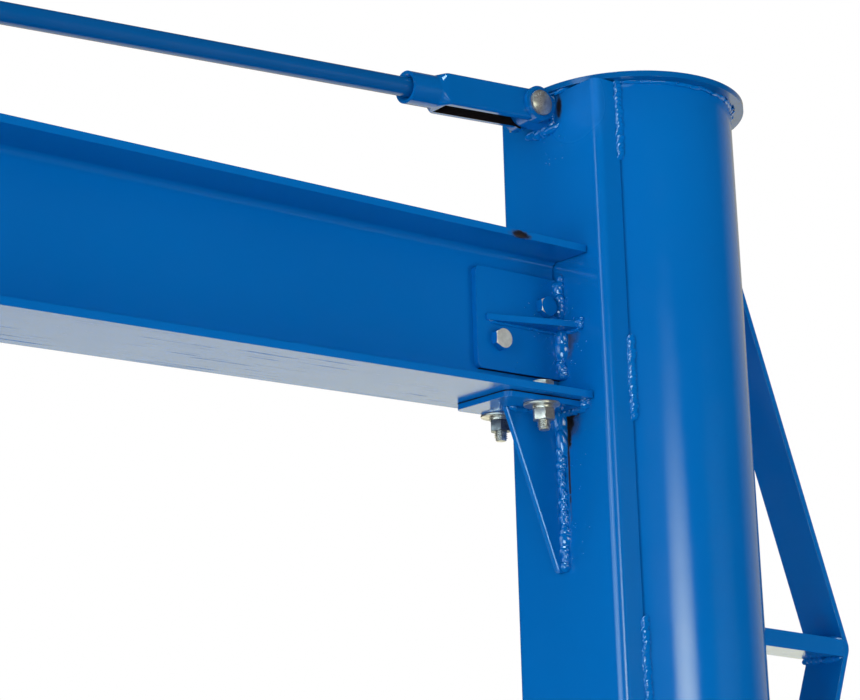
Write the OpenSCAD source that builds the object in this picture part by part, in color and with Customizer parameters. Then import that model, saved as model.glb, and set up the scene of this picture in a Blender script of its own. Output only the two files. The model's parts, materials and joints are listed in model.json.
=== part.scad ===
// Free-standing jib crane: a wide-flange boom held by a tie rod on a sleeve that
// slews round a floor-mounted pipe post. Millimetres, +Z up, +X out along the boom.
// The origin is on the slewing axis, on the floor under the base plate.

/* [Reach and heights] */
// Height of the boom's underside above the floor
boom_under = 2440; // [2200:10:3660]
// Distance from the slewing axis to the boom's outer end
boom_reach = 2438; // [2000:1:3050]
// Height of the sleeve's top above the boom's underside
sleeve_up = 324.8; // [300:0.1:380]
// Depth of the sleeve's bottom below the boom's underside
sleeve_down = 700; // [640:5:1000]

/* [Boom section] */
// Depth of the boom over both flanges
boom_d = 153.2; // [145:0.1:165]
// Width of the boom's flanges
boom_w = 106; // [98:0.5:125]
// Thickness of the boom's flanges
boom_tf = 7.1; // [5:0.1:10]
// Thickness of the boom's web
boom_tw = 5.8; // [4:0.1:9]
// Radius of the fillets between web and flanges
boom_fillet = 6.4; // [3:0.1:9]
// Gap between the boom's inner end and the mast channel
boom_gap = 2.5; // [1:0.1:5]
// Thickness of the plate that closes the boom's outer end
end_plate_t = 6.35; // [5:0.05:10]

/* [Sleeve and channel] */
// Outer diameter of the sleeve pipe
sleeve_od = 219.1; // [216:0.1:232]
// Wall of the sleeve pipe
sleeve_wall = 8.2; // [6:0.1:11]
// Diameter of the sleeve's cap plate
cap_d = 246; // [236:1:260]
// Thickness of the sleeve's cap plate
cap_t = 6; // [4:0.1:10]
// Gap left between the formed channel's top and the cap plate
chan_top_gap = 1.6; // [0.5:0.1:3]
// Width of the formed channel up the sleeve's front
chan_w = 147.5; // [130:0.5:160]
// Thickness of the formed channel
chan_t = 4.76; // [4:0.01:8]
// Outside radius of the channel's bends
chan_bend = 9; // [8.5:0.1:14]

/* [Boom seat] */
// Length of the seat plate out from the channel
seat_l = 98; // [90:1:120]
// Width of the seat plate
seat_w = 80; // [76:1:96]
// Radius of the seat plate's two free corners
seat_corner = 8; // [3:0.5:12]
// Thickness of the seat plate
seat_t = 6.35; // [5:0.05:12]
// Reach of the gusset under the seat plate
gusset_l = 69; // [50:1:85]
// Height of the gusset under the seat plate
gusset_h = 156; // [100:1:220]
// Thickness of the gusset under the seat plate
gusset_t = 6.35; // [5:0.05:12]
// Width of the gusset's lower tip
gusset_tip = 11; // [6:0.5:20]
// Distance of the seat bolts from the channel
seat_bolt_x = 47.2; // [35:0.1:60]
// Spacing of the two seat bolts across the boom
seat_gauge = 63.5; // [58:0.5:66]
// Diameter of the seat and clip bolt holes
bolt_hole_d = 14.3; // [13:0.1:16]

/* [Web clip] */
// Length of the clip plate along the web
clip_l = 107.5; // [100:0.5:130]
// Height of the clip plate
clip_h = 101.2; // [85:0.1:110]
// Thickness of the clip plate
clip_t = 6.35; // [5:0.05:12]
// Radius of the clip plate's outer corners
clip_corner = 6; // [3:0.5:12]
// Distance of the upper clip bolt from the channel
clip_bolt_in = 21; // [18:0.5:30]
// Distance of the lower clip bolt from the channel
clip_bolt_out = 80.3; // [70:0.1:88]
// Distance of each clip bolt above or below the clip's middle
clip_bolt_rise = 20.4; // [18:0.1:28]
// Length of the triangular rib along the clip plate
rib_l = 96; // [60:1:99]
// Width of the triangular rib at the channel
rib_w = 29; // [15:1:38]
// Thickness of the triangular rib
rib_t = 6.35; // [4:0.05:10]
// Width of the rib's blunt outer tip
rib_tip = 2.5; // [1:0.1:5]

/* [Tie rod] */
// Diameter of the tie rod
rod_d = 19; // [16:0.5:22]
// Distance from the slewing axis to the tie rod's outer pin
tie_reach = 1690; // [1400:10:1900]
// Height of the outer pin above the boom's top flange
tie_stand = 34; // [28:1:60]
// Distance of the inner pin from the mast channel
pin_out = 25.5; // [23:0.5:40]
// Depth of the inner pin below the sleeve's top
pin_down = 18.3; // [17:0.1:40]
// Diameter of the clevis pins
pin_d = 19.05; // [14:0.05:20]
// Diameter of the clevis pins' heads
pin_head_d = 26; // [22:0.5:32]
// Thickness of the clevis pins' heads
pin_head_t = 6; // [4:0.5:8]
// Length of each pin that stands past its clevis
pin_tail = 9; // [6:0.5:14]
// Thickness of the two lugs that the clevises straddle
lug_t = 19; // [16:0.5:24]
// Radius of the lugs' rounded ends
lug_r = 16; // [14:0.5:17]

/* [Clevises] */
// Width over the clevis arms
clevis_w = 34; // [32:0.5:42]
// Height of the clevis arms
clevis_h = 32; // [30:0.5:38]
// Clearance between a lug and the clevis slot on each side
slot_clear = 0.6; // [0.3:0.1:1]
// Distance from the pin to the bottom of the slot
clevis_slot_l = 115; // [70:1:130]
// Length of solid block between the slot and the round neck
clevis_block_l = 9; // [6:1:20]
// Length of the round neck
clevis_neck_l = 31; // [20:1:45]
// Diameter of the round neck
clevis_neck_d = 32; // [28:0.5:40]
// Length of the shoulder between each clevis's neck and its square part
clevis_shoulder_l = 12; // [8:0.5:16]
// Radius of the clevises' long edges
clevis_edge = 3; // [1.5:0.1:5]
// Diameter of the eyes round the pin
eye_d = 36; // [33:0.5:42]
// Height of the eyes' faces above the arms
eye_rise = 4; // [2:0.5:6]

/* [Back brace] */
// Width of the brace's flat bar and of its strut
brace_w = 50.8; // [40:0.1:64]
// Thickness of the brace's flat bar
brace_t = 6.35; // [5:0.05:10]
// Distance of the bend behind the sleeve
brace_off = 151; // [120:1:180]
// Depth of the bend below the boom's underside
brace_bend_z = 222.4; // [180:0.1:260]
// Height of the bar's upper leg above the bend
brace_rise = 437; // [380:1:480]
// Height of the bar's lower leg below the bend
brace_fall = 374; // [320:1:400]
// Inside radius of the bend
brace_bend_r = 8; // [6:0.5:14]
// Thickness of the strut between sleeve and bend
strut_t = 18; // [12:0.5:20]
// Amount that the strut drops on its way out to the bend
strut_drop = 9.5; // [0:0.5:14]

/* [Post] */
// Outer diameter of the post pipe
post_od = 168.3; // [160:0.1:178]
// Wall of the post pipe
post_wall = 7.1; // [5:0.1:12]
// Side of the square base plate
base_w = 762; // [700:1:920]
// Thickness of the base plate
base_t = 19; // [16:0.5:32]
// Spacing of the corner anchors along each side
anchor_gap = 660; // [620:1:680]
// Diameter of the anchor holes
anchor_hole_d = 22.2; // [20:0.1:28]
// Distance from the base gussets' toes in to the edge of the base plate
foot_clear = 107; // [80:1:140]
// Height of the base gussets
foot_h = 190; // [140:1:260]
// Thickness of the base gussets
foot_t = 9.5; // [8:0.1:14]
// Number of base gussets round the post
foot_count = 8; // [4:4:8]

/* [Slewing bearings] */
// Running gap in the slewing bearings
run_gap = 0.3; // [0.2:0.05:0.5]
// Diameter of the pivot spindle on the post
spindle_d = 50; // [40:1:60]
// Height of the pivot spindle above the post cap
spindle_h = 70; // [60:1:90]
// Thickness of the post's cap
post_cap_t = 16; // [12:0.5:25]
// Thickness of the bronze thrust washer
thrust_t = 8; // [5:0.5:12]
// Diameter of the bronze thrust washer
thrust_d = 120; // [95:1:140]
// Thickness of the pivot plate inside the sleeve
pivot_t = 25; // [19:0.5:32]
// Wall of the bronze bush in the pivot plate
bush_wall = 6; // [4:0.5:8]
// Depth of the pivot plate's top below the sleeve's top
pivot_down = 60; // [50:1:90]
// Height of the lower bush inside the sleeve
lower_bush_h = 60; // [40:1:90]
// Thickness of the lower bush's flange under the sleeve
bush_flange_t = 8; // [6:0.5:12]

/* [Hidden] */
// gap that a weld or a seat bridges between two pieces
weld_gap = 0.1;
// amount that a cutting shape passes beyond what it cuts
past = 1;
// segments in an arc drawn through points
arc_steps = 12;
// facets round the clevis forging, in fours for its corners
forging_fn = 48;
// amount eased off a plate's free edges
edge_ease = 0.8;
$fn = 96;

sleeve_r = sleeve_od / 2;
sleeve_bore_r = sleeve_r - sleeve_wall;
post_r = post_od / 2;
sleeve_top = boom_under + sleeve_up;
sleeve_bottom = boom_under - sleeve_down;
chan_face = sleeve_r + weld_gap + chan_t;
chan_inner_y = chan_w / 2 - chan_t;
chan_back = sqrt(pow(sleeve_r + weld_gap, 2) - pow(chan_inner_y, 2));
boom_start = chan_face + boom_gap;
boom_end = boom_reach - end_plate_t;
boom_mid_z = boom_under + boom_d / 2;
boom_top_z = boom_under + boom_d;

inner_pin = [chan_face + pin_out, sleeve_top - pin_down];
outer_pin = [tie_reach, boom_top_z + tie_stand];
tie_span = outer_pin - inner_pin;
tie_len = norm(tie_span);
tie_dip = atan2(-tie_span[1], tie_span[0]);

slot_w = lug_t + 2 * slot_clear;
pin_hole_d = pin_d + 0.5;
clevis_neck_x = clevis_slot_l + clevis_block_l;
clevis_end = clevis_neck_x + clevis_neck_l;
rod_bore_d = rod_d + 0.4;
rod_bite = clevis_neck_l - 2;
eye_y = clevis_w / 2 + eye_rise;

brace_up_a = atan2(brace_off, brace_rise);
brace_low_a = atan2(brace_off, brace_fall);
brace_half_a = (brace_up_a + brace_low_a) / 2;
brace_mid_a = (brace_up_a - brace_low_a) / 2;
brace_bend = [sleeve_r + brace_off, boom_under - brace_bend_z];
brace_centre = brace_bend - brace_bend_r / cos(brace_half_a) * [cos(brace_mid_a), sin(brace_mid_a)];

// length of each brace leg that runs on into the sleeve before it is trimmed
brace_sink = 24;

pivot_top = sleeve_top - pivot_down;
post_cap_top = pivot_top - pivot_t - run_gap - thrust_t;
post_top = post_cap_top - post_cap_t;
bush_bore_r = spindle_d / 2 + run_gap;
foot_l = base_w / 2 - post_r - foot_clear;

FEET = [for (i = [1 : foot_count]) str("base_gusset_", i)];

crane_blue = [0.0, 0.32, 0.62];
zinc = [0.72, 0.72, 0.68];
bronze = [0.68, 0.48, 0.22];
spindle_steel = [0.55, 0.56, 0.58];

// ---------- helpers ----------

// points along an arc about c from angle a0 to a1
function arc(c, r, a0, a1) = [for (i = [0 : arc_steps])
    c + r * [cos(a0 + (a1 - a0) * i / arc_steps), sin(a0 + (a1 - a0) * i / arc_steps)]];

// extrudes a section drawn in the Y-Z plane from x0 to x1
module along_x(x0, x1) {
    translate([x0, 0, 0]) rotate([90, 0, 90]) linear_extrude(x1 - x0) children();
}

// extrudes an outline drawn in the X-Z plane by t, centred on y
module plate_xz(t, y = 0) {
    translate([0, y + t / 2, 0]) rotate([90, 0, 0]) linear_extrude(t) children();
}

// a tube that stands on z0
module tube(r_out, r_in, z0, h) {
    translate([0, 0, z0]) difference() {
        cylinder(r = r_out, h = h);
        translate([0, 0, -past]) cylinder(r = r_in, h = h + 2 * past);
    }
}

// a solid round bar through the X-Z plane at p, from y0 to y1
module cross_bar(p, r, y0, y1) {
    translate([p[0], y0, p[1]]) rotate([-90, 0, 0]) cylinder(r = r, h = y1 - y0);
}

// skin through a row of rings with equal numbers of points, closed at both ends
module loft(rings) {
    n = len(rings[0]);
    last = n * (len(rings) - 1);
    polyhedron([for (ring = rings) each ring], concat(
        [[for (k = [n - 1 : -1 : 0]) k], [for (k = [0 : n - 1]) last + k]],
        [for (i = [0 : n : last - n], k = [0 : n - 1]) [i + k, i + (k + 1) % n, i + n + k]],
        [for (i = [0 : n : last - n], k = [0 : n - 1])
            [i + (k + 1) % n, i + n + (k + 1) % n, i + n + k]]));
}

// ---------- fixed post ----------

module base_plate() {
    color(crane_blue) difference() {
        translate([-base_w / 2, -base_w / 2, 0]) cube([base_w, base_w, base_t]);
        for (i = [-1 : 1], j = [-1 : 1])
            if (i != 0 || j != 0)
                translate([i * anchor_gap / 2, j * anchor_gap / 2, -past])
                    cylinder(d = anchor_hole_d, h = base_t + 2 * past);
    }
}

module post_pipe() {
    color(crane_blue) tube(post_r, post_r - post_wall, base_t, post_top - base_t);
}

// gussets stand evenly round the post, their inner corner cut clear of its weld
module base_gusset(i) {
    snipe = 12;
    lip = 14;
    color(crane_blue) difference() {
        rotate([0, 0, (i - 1) * 360 / foot_count]) plate_xz(foot_t)
            polygon([[0, base_t + snipe], [post_r, base_t + snipe], [post_r + snipe, base_t],
                [post_r + foot_l, base_t], [post_r + foot_l, base_t + lip],
                [post_r + lip, base_t + foot_h], [0, base_t + foot_h]]);
        cylinder(r = post_r + weld_gap, h = base_t + foot_h + past);
    }
}

module post_cap() {
    color(crane_blue) translate([0, 0, post_top]) cylinder(r = post_r, h = post_cap_t);
}

module pivot_spindle() {
    lead = 4;
    color(spindle_steel) translate([0, 0, post_cap_top]) {
        cylinder(d = spindle_d, h = spindle_h - lead);
        translate([0, 0, spindle_h - lead])
            cylinder(d1 = spindle_d, d2 = spindle_d - 2 * lead, h = lead);
    }
}

module thrust_washer() {
    color(bronze) tube(thrust_d / 2, bush_bore_r, post_cap_top, thrust_t);
}

// ---------- slewing sleeve ----------

module sleeve_pipe() {
    color(crane_blue) tube(sleeve_r, sleeve_bore_r, sleeve_bottom, sleeve_top - sleeve_bottom);
}

module cap_plate() {
    color(crane_blue) translate([0, 0, sleeve_top]) cylinder(d = cap_d, h = cap_t);
}

// plan outline of a channel's outside or inside, with both front corners bent
module bent_outline(face, w, r) {
    translate([0, -w / 2 + r]) square([face, w - 2 * r]);
    translate([0, -w / 2]) square([face - r, w]);
    for (s = [-1, 1])
        translate([face - r, s * (w / 2 - r)]) circle(r);
}

// formed channel whose square-cut legs rest on the sleeve by their inner edges
module front_channel() {
    color(crane_blue) translate([0, 0, sleeve_bottom])
        linear_extrude(sleeve_top - sleeve_bottom - chan_top_gap) difference() {
            bent_outline(chan_face, chan_w, chan_bend);
            bent_outline(chan_face - chan_t, 2 * chan_inner_y, chan_bend - chan_t);
            translate([0, -chan_w]) square([chan_back, 2 * chan_w]);
        }
}

// inner plate that hangs the sleeve on the post's thrust washer
module pivot_plate() {
    color(crane_blue)
        tube(sleeve_bore_r - weld_gap, bush_bore_r + bush_wall + weld_gap, pivot_top - pivot_t, pivot_t);
}

module pivot_bush() {
    color(bronze) tube(bush_bore_r + bush_wall, bush_bore_r, pivot_top - pivot_t, pivot_t);
}

// flanged bush that centres the sleeve's lower end on the post
module lower_bush() {
    bore = post_r + run_gap;
    color(bronze) {
        tube(sleeve_bore_r - weld_gap, bore, sleeve_bottom, lower_bush_h);
        tube(sleeve_r, bore, sleeve_bottom - bush_flange_t, bush_flange_t);
    }
}

// ---------- boom seat ----------

// its two free corners are rounded, and its other end is square against the channel
module seat_plate() {
    r = seat_corner;
    color(crane_blue) difference() {
        translate([chan_face, 0, boom_under - seat_t]) linear_extrude(seat_t) {
            translate([0, -seat_w / 2]) square([seat_l - r, seat_w]);
            translate([0, r - seat_w / 2]) square([seat_l, seat_w - 2 * r]);
            for (s = [-1, 1])
                translate([seat_l - r, s * (seat_w / 2 - r)]) circle(r);
        }
        seat_bolt_holes();
    }
}

module seat_bolt_holes() {
    for (s = [-1, 1])
        translate([chan_face + seat_bolt_x, s * seat_gauge / 2, boom_under - seat_t - past])
            cylinder(d = bolt_hole_d, h = seat_t + boom_tf + 2 * past);
}

// section of the gusset at y, whose outer edge runs tangent on to its rounded tip; ease is
// taken off that edge and the tip, and never off the side that lies on the channel
function gusset_ring(y, ease) =
    let (top = boom_under - seat_t,
         r = gusset_tip / 2,
         tip = [chan_face + r, top - gusset_h + r],
         reach = [chan_face + gusset_l, top] - tip,
         turn = atan2(reach[1], reach[0]) - acos(r / norm(reach)),
         outline = concat([[chan_face, top], [chan_face + gusset_l - ease / cos(turn), top]],
             arc(tip, r - ease, turn, -165), [[chan_face, tip[1]]]))
    [for (p = outline) [p[0], y, p[1]]];

// flame-cut triangle under the seat, with its free edges eased
module seat_gusset() {
    y = gusset_t / 2;
    color(crane_blue) loft([gusset_ring(y, edge_ease), gusset_ring(y - edge_ease, 0),
        gusset_ring(edge_ease - y, 0), gusset_ring(-y, edge_ease)]);
}

module clip_bolt_holes() {
    for (p = [[clip_bolt_in, clip_bolt_rise], [clip_bolt_out, -clip_bolt_rise]])
        cross_bar([chan_face + p[0], boom_mid_z + p[1]], bolt_hole_d / 2,
            -boom_tw / 2 - past, boom_tw / 2 + clip_t + past);
}

// plate beside the web, welded to the channel and bolted to the boom
module clip_plate() {
    z0 = boom_mid_z - clip_h / 2;
    r = clip_corner;
    color(crane_blue) difference() {
        plate_xz(clip_t, (boom_tw + clip_t) / 2) {
            translate([chan_face, z0]) square([clip_l - r, clip_h]);
            translate([chan_face, z0 + r]) square([clip_l, clip_h - 2 * r]);
            for (z = [z0 + r, z0 + clip_h - r])
                translate([chan_face + clip_l - r, z]) circle(r);
        }
        clip_bolt_holes();
    }
}

module clip_rib() {
    y0 = boom_tw / 2 + clip_t;
    color(crane_blue) translate([chan_face, y0, boom_mid_z - rib_t / 2])
        linear_extrude(rib_t)
            polygon([[0, 0], [rib_l, 0], [rib_l, rib_tip], [0, rib_w]]);
}

// ---------- boom ----------

module beam_section() {
    for (s = [-1, 1])
        translate([0, s * (boom_d - boom_tf) / 2]) square([boom_w, boom_tf], center = true);
    square([boom_tw, boom_d], center = true);
    for (sy = [0, 1], sz = [0, 1])
        mirror([sy, 0]) mirror([0, sz])
            translate([boom_tw / 2, boom_d / 2 - boom_tf - boom_fillet]) difference() {
                square(boom_fillet);
                translate([boom_fillet, 0]) circle(boom_fillet);
            }
}

module boom_beam() {
    color(crane_blue) difference() {
        translate([0, 0, boom_mid_z]) along_x(boom_start, boom_end) beam_section();
        seat_bolt_holes();
        clip_bolt_holes();
    }
}

module boom_end_plate() {
    color(crane_blue) translate([boom_end, -boom_w / 2, boom_under])
        cube([end_plate_t, boom_w, boom_d]);
}

// ---------- tie rod ----------

module mast_lug() {
    color(crane_blue) difference() {
        plate_xz(lug_t) {
            translate([chan_face, inner_pin[1] - lug_r]) square([pin_out, 2 * lug_r]);
            translate(inner_pin) circle(lug_r);
        }
        cross_bar(inner_pin, pin_hole_d / 2, -lug_t, lug_t);
    }
}

module boom_lug() {
    color(crane_blue) difference() {
        plate_xz(lug_t) {
            translate([outer_pin[0] - lug_r, boom_top_z]) square([2 * lug_r, tie_stand]);
            translate(outer_pin) circle(lug_r);
        }
        cross_bar(outer_pin, pin_hole_d / 2, -lug_t, lug_t);
    }
}

// points round the clevis forging at x, from its round neck (form 0) to its square fork (form 1)
function clevis_ring(x, form) =
    let (neck_r = clevis_neck_d / 2 - weld_gap,
         r = neck_r + form * (clevis_edge - neck_r),
         y = neck_r + form * (clevis_w / 2 - neck_r) - r,
         z = neck_r + form * (clevis_h / 2 - neck_r) - r)
    [for (k = [0 : forging_fn - 1]) let (a = (k + 0.5) * 360 / forging_fn)
        [x, sign(sin(a)) * y + r * sin(a), sign(cos(a)) * z + r * cos(a)]];

// square fork that flows into the round neck through a double-curved shoulder
module clevis_forging() {
    steps = 6;
    x0 = clevis_neck_x - clevis_shoulder_l;
    loft(concat([clevis_ring(0, 1)], [for (i = [0 : steps])
        clevis_ring(x0 + clevis_shoulder_l * i / steps, (1 + cos(180 * i / steps)) / 2)]));
    rotate([0, 90, 0]) translate([0, 0, clevis_neck_x - past])
        cylinder(d = clevis_neck_d, h = clevis_end - clevis_neck_x + past);
}

// clevis with its pin at the origin and its neck towards +X
module clevis() {
    sink = 3;
    difference() {
        union() {
            clevis_forging();
            cross_bar([0, 0], eye_d / 2, -eye_y, eye_y);
        }
        translate([-eye_d, -slot_w / 2, -eye_d]) cube([eye_d + clevis_slot_l, slot_w, 2 * eye_d]);
        cross_bar([0, 0], pin_hole_d / 2, -eye_y - past, eye_y + past);
        rotate([0, 90, 0]) {
            translate([0, 0, clevis_end - rod_bite]) cylinder(d = rod_bore_d, h = rod_bite + past);
            translate([0, 0, clevis_end - sink])
                cylinder(d1 = rod_bore_d, d2 = rod_bore_d + 2 * sink, h = sink);
        }
    }
}

module mast_clevis() {
    color(crane_blue) translate([inner_pin[0], 0, inner_pin[1]])
        rotate([0, tie_dip, 0]) clevis();
}

module boom_clevis() {
    color(crane_blue) translate([outer_pin[0], 0, outer_pin[1]])
        rotate([0, tie_dip + 180, 0]) clevis();
}

// headed pin with a domed head on the +Y side
module clevis_pin(p) {
    dome_r = pin_head_d;
    color(zinc) translate([p[0], 0, p[1]]) rotate([-90, 0, 0]) {
        translate([0, 0, -eye_y - pin_tail]) cylinder(d = pin_d, h = 2 * eye_y + pin_tail + weld_gap);
        translate([0, 0, eye_y + weld_gap]) intersection() {
            cylinder(d = pin_head_d, h = pin_head_t);
            translate([0, 0, pin_head_t - dome_r]) sphere(dome_r);
        }
    }
}

module mast_pin() {
    clevis_pin(inner_pin);
}

module boom_pin() {
    clevis_pin(outer_pin);
}

module tie_rod() {
    bite = clevis_end - rod_bite + 1;
    color(crane_blue) translate([inner_pin[0], 0, inner_pin[1]]) rotate([0, tie_dip, 0])
        rotate([0, 90, 0]) translate([0, 0, bite]) cylinder(d = rod_d, h = tie_len - 2 * bite);
}

// ---------- back brace ----------

// side view of the bent bar, with x measured back from the slewing axis
module brace_outline() {
    up_end = [brace_bend[0] - brace_off, brace_bend[1] + brace_rise];
    low_end = [brace_bend[0] - brace_off, brace_bend[1] - brace_fall];
    up_off = brace_t * [cos(brace_up_a), sin(brace_up_a)];
    low_off = brace_t * [cos(brace_low_a), -sin(brace_low_a)];
    up_run = brace_sink * [-sin(brace_up_a), cos(brace_up_a)];
    low_run = brace_sink * [-sin(brace_low_a), -cos(brace_low_a)];
    polygon(concat([up_end + up_run, up_end + up_run + up_off],
        arc(brace_centre, brace_bend_r + brace_t, brace_up_a, -brace_low_a),
        [low_end + low_run + low_off, low_end + low_run],
        arc(brace_centre, brace_bend_r, -brace_low_a, brace_up_a)));
}

// turns an outline with x measured backwards into a piece behind the sleeve
module behind_sleeve(w) {
    difference() {
        mirror([1, 0, 0]) plate_xz(w) children();
        translate([0, 0, sleeve_bottom])
            cylinder(r = sleeve_r + weld_gap, h = sleeve_top - sleeve_bottom);
    }
}

module brace_bar() {
    color(crane_blue) behind_sleeve(brace_w) brace_outline();
}

module brace_strut() {
    slope = strut_drop / brace_off;
    x0 = sleeve_r - strut_t;
    x1 = brace_bend[0] + brace_t / 3;
    z0 = brace_bend[1] - strut_t / 2 + slope * (brace_bend[0] - x0);
    z1 = brace_bend[1] - strut_t / 2 + slope * (brace_bend[0] - x1);
    color(crane_blue) behind_sleeve(brace_w) difference() {
        polygon([[x0, z0], [x1, z1], [x1, z1 + strut_t], [x0, z0 + strut_t]]);
        brace_outline();
    }
}

// ---------- assembly ----------

base_plate();
post_pipe();
post_cap();
pivot_spindle();
thrust_washer();
sleeve_pipe();
cap_plate();
front_channel();
pivot_plate();
pivot_bush();
lower_bush();
seat_plate();
seat_gusset();
clip_plate();
clip_rib();
boom_beam();
boom_end_plate();
boom_lug();
mast_lug();
mast_clevis();
boom_clevis();
mast_pin();
boom_pin();
tie_rod();
brace_bar();
brace_strut();
for (i = [1 : foot_count])
    base_gusset(i);
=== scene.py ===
# %% [markdown]
# # A free-standing jib crane
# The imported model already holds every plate, pipe and rolled section at its real size. This notebook gives
# it its looks: enamel paint, welds, bolts with real threads, light and a camera. We begin by loading that
# model as a fixed frame. Every place below is worked out from its pieces, so nothing needs fitting by eye,
# and one seed makes the uneven things, such as weld puddles, fall the same way on every run.

# %% Load the frame
import json
import math
import random
import bpy
from mathutils import Matrix, Vector

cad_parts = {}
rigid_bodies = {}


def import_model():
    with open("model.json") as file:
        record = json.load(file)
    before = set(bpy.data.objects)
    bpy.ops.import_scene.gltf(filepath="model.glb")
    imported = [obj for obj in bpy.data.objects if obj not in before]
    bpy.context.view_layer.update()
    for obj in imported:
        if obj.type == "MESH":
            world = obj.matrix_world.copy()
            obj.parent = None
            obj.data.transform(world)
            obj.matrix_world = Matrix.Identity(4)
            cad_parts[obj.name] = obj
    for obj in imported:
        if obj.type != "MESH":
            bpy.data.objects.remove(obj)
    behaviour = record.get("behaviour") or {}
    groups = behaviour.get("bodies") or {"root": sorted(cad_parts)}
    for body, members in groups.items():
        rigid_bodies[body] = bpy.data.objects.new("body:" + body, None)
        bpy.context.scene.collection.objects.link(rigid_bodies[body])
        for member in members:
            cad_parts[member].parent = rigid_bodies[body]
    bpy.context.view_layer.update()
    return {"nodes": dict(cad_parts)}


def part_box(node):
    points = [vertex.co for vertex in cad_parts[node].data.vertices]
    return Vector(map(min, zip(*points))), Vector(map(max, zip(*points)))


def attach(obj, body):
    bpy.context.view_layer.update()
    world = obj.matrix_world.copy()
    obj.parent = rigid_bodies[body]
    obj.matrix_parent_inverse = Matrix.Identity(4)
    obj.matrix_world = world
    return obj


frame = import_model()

random.seed(7)
MM = 0.001

# %% [markdown]
# ## Places to work from
# A fabricator marks a few lines on the steel and measures everything from them. We do the same: the
# channel's outer face, the underside of the boom and the sleeve's axis (X = Y = 0) are our marking lines.
# The boom points along +X, and its bolted side, with the clip plate, looks along +Y.

# %% Marking lines
boom_lo, boom_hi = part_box("boom_beam")
chan_lo, chan_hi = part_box("front_channel")
seat_lo, seat_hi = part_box("seat_plate")
gusset_lo, gusset_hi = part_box("seat_gusset")
clip_lo, clip_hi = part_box("clip_plate")
rib_lo, rib_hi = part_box("clip_rib")
lug_lo, lug_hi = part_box("mast_lug")
face_x = chan_hi.x
under_z = boom_lo.z
sleeve_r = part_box("sleeve_pipe")[1].x
web_half = clip_lo.y
base_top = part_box("base_plate")[1].z
SIDES = ((1, "near"), (-1, "far"))
print("channel face at", round(face_x, 4), "boom underside at", round(under_z, 3))

# %% [markdown]
# ## The camera
# A long lens stands below the boom and to one side, and looks up at the joint between boom and mast. A
# Track To constraint could aim it, but three plain angles are easier to write down and repeat.

# %% Camera
def make_camera(name, place, yaw, pitch, roll, lens):
    """A camera that looks along yaw (from +X, anticlockwise) and pitch (above the horizon), in degrees."""
    y, p = math.radians(yaw), math.radians(pitch)
    ahead = Vector((math.cos(y) * math.cos(p), math.sin(y) * math.cos(p), math.sin(p)))
    turn = ahead.to_track_quat("-Z", "Y").to_matrix() @ Matrix.Rotation(math.radians(roll), 3, "Z")
    camera = bpy.data.objects.new(name, bpy.data.cameras.new(name))
    bpy.context.scene.collection.objects.link(camera)
    camera.matrix_world = Matrix.Translation(place) @ turn.to_4x4()
    camera.data.lens = lens
    camera.data.sensor_width = 36
    camera.data.clip_start, camera.data.clip_end = 0.05, 100
    return camera

CAMERA_PLACE = Vector((1.30104, 1.30067, under_z - 0.37667))
bpy.context.scene.camera = make_camera(
    "camera", CAMERA_PLACE, yaw=231.658, pitch=14.0219, roll=-1.371, lens=76.70)
print("camera at", [round(c, 3) for c in bpy.context.scene.camera.location])

# %% [markdown]
# ## Node helpers
# A material could be wired by hand in the Shader Editor. Here every finish is built from the same few
# nodes, so a tiny helper that adds a node, sets its sockets and wires its inputs keeps each material short
# enough to read. All patterns read Object coordinates, because these meshes have no UV map and never
# deform.

# %% Material helpers
def new_material(name):
    material = bpy.data.materials.new(name)
    material.use_nodes = True
    tree = material.node_tree
    return material, tree, tree.nodes["Principled BSDF"]

def add_node(tree, kind, links=None, settings=None, **sockets):
    """Adds a node, sets its properties and unlinked sockets, and links the given inputs."""
    node = tree.nodes.new(kind)
    for key, value in (settings or {}).items():
        setattr(node, key, value)
    for key, value in sockets.items():
        node.inputs[key.replace("_", " ")].default_value = value
    for key, source in (links or {}).items():
        tree.links.new(source, node.inputs[key])
    return node

def object_coords(tree, scale=(1, 1, 1)):
    place = add_node(tree, "ShaderNodeTexCoord").outputs["Object"]
    return add_node(tree, "ShaderNodeMapping", {"Vector": place}, Scale=scale).outputs["Vector"]

def noise(tree, coords, scale, detail=2.0, roughness=0.5):
    return add_node(tree, "ShaderNodeTexNoise", {"Vector": coords}, Scale=scale, Detail=detail,
                    Roughness=roughness).outputs["Fac"]

def spread(tree, value, low, high, to_low, to_high):
    """Stretches a value from one range to another, and holds it there."""
    node = add_node(tree, "ShaderNodeMapRange", {"Value": value})
    for key, number in (("From Min", low), ("From Max", high), ("To Min", to_low), ("To Max", to_high)):
        node.inputs[key].default_value = number
    return node.outputs["Result"]

def mix_colour(tree, amount, low, high):
    node = add_node(tree, "ShaderNodeMix", settings={"data_type": "RGBA"})
    tree.links.new(amount, node.inputs[0])
    for socket, colour in ((node.inputs[6], low), (node.inputs[7], high)):
        if isinstance(colour, tuple):
            socket.default_value = (*colour, 1)
        else:
            tree.links.new(colour, socket)
    return node.outputs[2]

def bump(tree, height, distance, strength=1.0, normal=None):
    links = {"Height": height}
    if normal is not None:
        links["Normal"] = normal
    return add_node(tree, "ShaderNodeBump", links, Distance=distance, Strength=strength).outputs["Normal"]

# %% [markdown]
# ## Masks
# A mask is a number from 0 to 1 that says where something shows. Most here are ovals and boxes in object
# space, made of a few vector and math nodes. They could be drawn in Texture Paint, but then every piece
# would need a UV map and an image of its own.

# %% Masks
def calculate(tree, operation, a, b):
    """A Math node; each side is a number or a socket."""
    node = add_node(tree, "ShaderNodeMath", settings={"operation": operation})
    for socket, value in zip(node.inputs, (a, b)):
        if isinstance(value, (int, float)):
            socket.default_value = value
        else:
            tree.links.new(value, socket)
    return node.outputs[0]

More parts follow.
